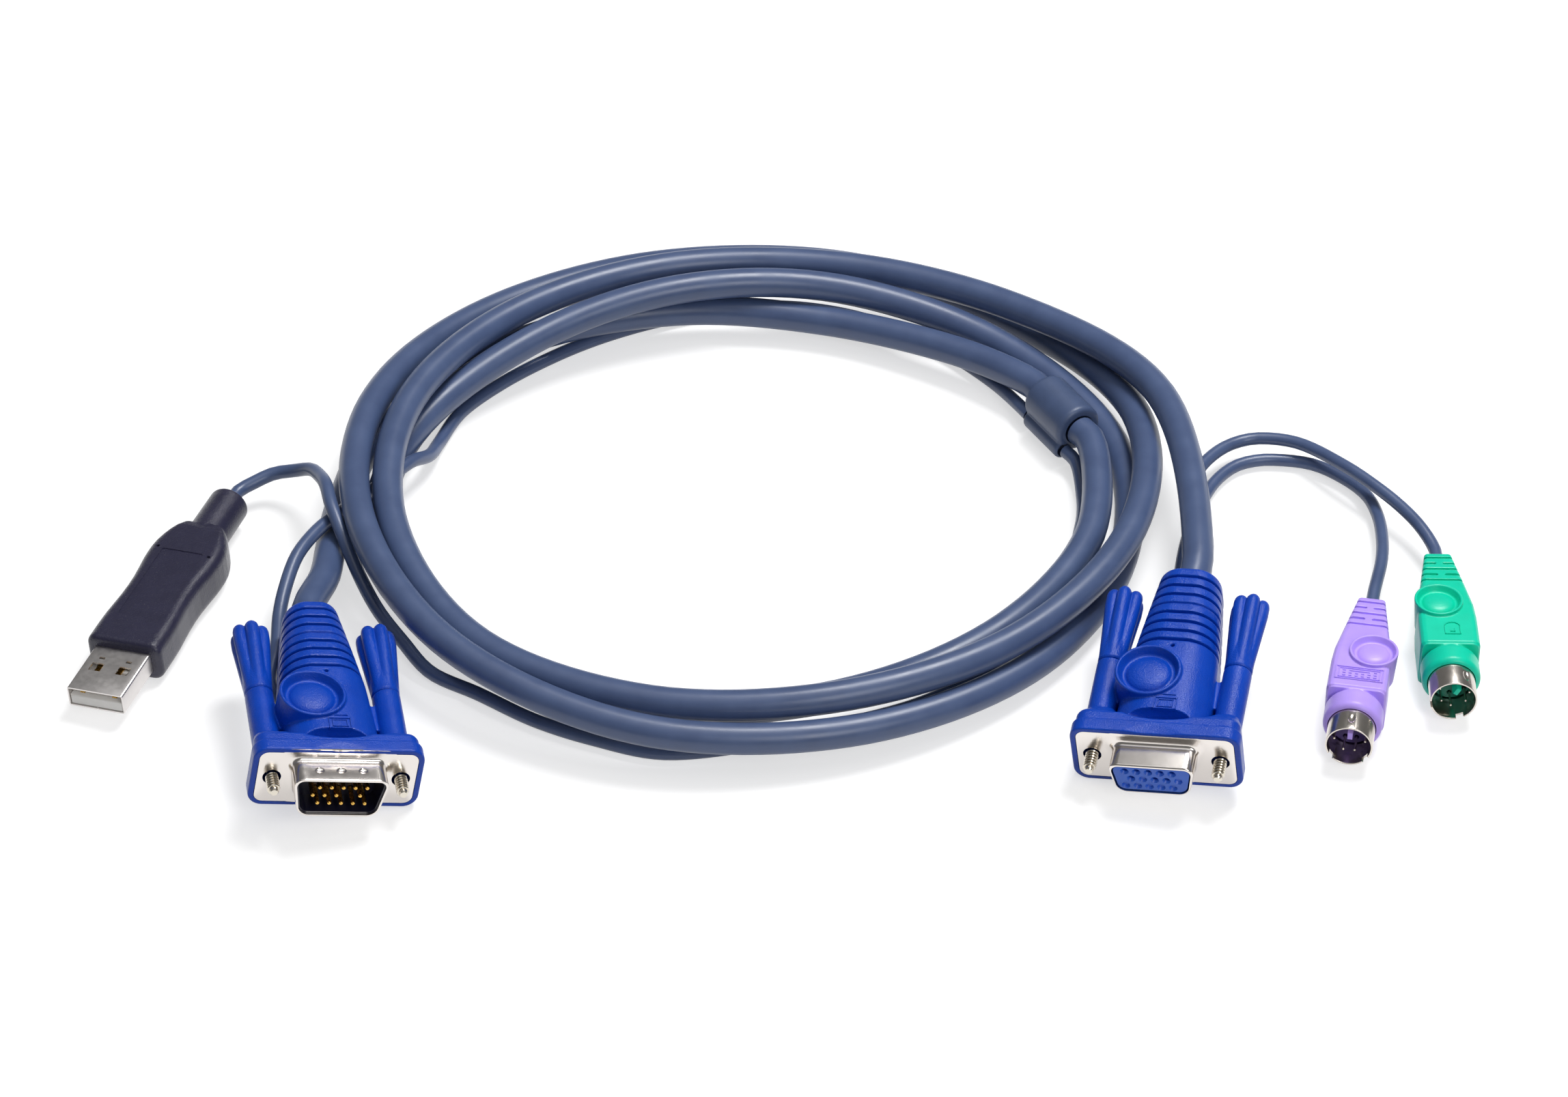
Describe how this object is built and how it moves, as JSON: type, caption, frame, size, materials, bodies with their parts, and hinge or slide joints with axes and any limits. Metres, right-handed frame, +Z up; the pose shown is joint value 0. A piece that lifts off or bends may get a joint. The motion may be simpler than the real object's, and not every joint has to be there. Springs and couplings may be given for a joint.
{
  "type": "kvm cable",
  "caption": "KVM cable in a loose coil: a VGA plug with a USB plug at one end, a VGA plug with two PS/2 plugs at the other.",
  "frame": {"origin": "on the table under the middle of the cable's overall box", "axes": "+X from the USB plug towards the PS/2 plugs, +Y from the plugs towards the far side of the coil, +Z up"},
  "size_m": [0.2778, 0.1867, 0.0205],
  "materials": {
    "blue_hood": "satin moulded PVC",
    "blue_insulator": "smooth",
    "black_insulator": "smooth",
    "nickel": "bright nickel plate",
    "steel": "nickel-plated thread",
    "gold": "gold flash",
    "dark_overmould": "fine spark texture",
    "white_tongue": "smooth",
    "purple_hood": "satin moulded PVC",
    "green_hood": "satin moulded PVC",
    "cable_jacket": "satin PVC jacket"
  },
  "bodies": {
    "cable": {"vga_male_hood": "blue_hood", "vga_male_plate": "nickel", "vga_male_insulator": "black_insulator", "vga_male_pin_01": "gold", "vga_male_pin_02": "gold", "vga_male_pin_03": "gold", "vga_male_pin_04": "gold", "vga_male_pin_05": "gold", "vga_male_pin_06": "gold", "vga_male_pin_07": "gold", "vga_male_pin_08": "gold", "vga_male_pin_09": "gold", "vga_male_pin_10": "gold", "vga_male_pin_11": "gold", "vga_male_pin_12": "gold", "vga_male_pin_13": "gold", "vga_male_pin_14": "gold", "vga_female_hood": "blue_hood", "vga_female_plate": "nickel", "vga_female_insulator": "blue_insulator", "usb_overmould": "dark_overmould", "usb_shell": "nickel", "usb_tongue": "white_tongue", "usb_contact_1": "gold", "usb_contact_2": "gold", "usb_contact_3": "gold", "usb_contact_4": "gold", "ps2_keyboard_hood": "purple_hood", "ps2_keyboard_shell": "nickel", "ps2_keyboard_insulator": "purple_hood", "ps2_keyboard_pin_1": "gold", "ps2_keyboard_pin_2": "gold", "ps2_keyboard_pin_3": "gold", "ps2_keyboard_pin_4": "gold", "ps2_keyboard_pin_5": "gold", "ps2_keyboard_pin_6": "gold", "ps2_mouse_hood": "green_hood", "ps2_mouse_shell": "nickel", "ps2_mouse_insulator": "green_hood", "ps2_mouse_pin_1": "gold", "ps2_mouse_pin_2": "gold", "ps2_mouse_pin_3": "gold", "ps2_mouse_pin_4": "gold", "ps2_mouse_pin_5": "gold", "ps2_mouse_pin_6": "gold", "collar_sleeve": "cable_jacket", "cable_male_to_collar": "cable_jacket", "cable_coil": "cable_jacket", "usb_cord_to_collar": "cable_jacket", "usb_cord_to_plug": "cable_jacket", "ps2_keyboard_cord": "cable_jacket", "ps2_mouse_cord": "cable_jacket"},
    "male_left_thumbscrew": {"vga_male_knob_left": "blue_hood", "vga_male_screw_left": "steel"},
    "male_right_thumbscrew": {"vga_male_knob_right": "blue_hood", "vga_male_screw_right": "steel"},
    "female_left_thumbscrew": {"vga_female_knob_left": "blue_hood", "vga_female_screw_left": "steel"},
    "female_right_thumbscrew": {"vga_female_knob_right": "blue_hood", "vga_female_screw_right": "steel"}
  },
  "joints": [
    {"name": "male_left_thumbscrew_spin", "type": "hinge", "parent": "cable", "child": "male_left_thumbscrew", "pos_m": [-0.09598, -0.08836, 0.01208], "axis": [-0.177, 0.9836, 0.0349], "continuous": true},
    {"name": "male_right_thumbscrew_spin", "type": "hinge", "parent": "cable", "child": "male_right_thumbscrew", "pos_m": [-0.07182, -0.08385, 0.00753], "axis": [-0.177, 0.9836, 0.0349], "continuous": true},
    {"name": "female_left_thumbscrew_spin", "type": "hinge", "parent": "cable", "child": "female_left_thumbscrew", "pos_m": [0.06116, -0.07643, 0.00742], "axis": [0.1991, 0.97, 0.1392], "continuous": true},
    {"name": "female_right_thumbscrew_spin", "type": "hinge", "parent": "cable", "child": "female_right_thumbscrew", "pos_m": [0.08544, -0.08178, 0.00996], "axis": [0.1991, 0.97, 0.1392], "continuous": true}
  ]
}
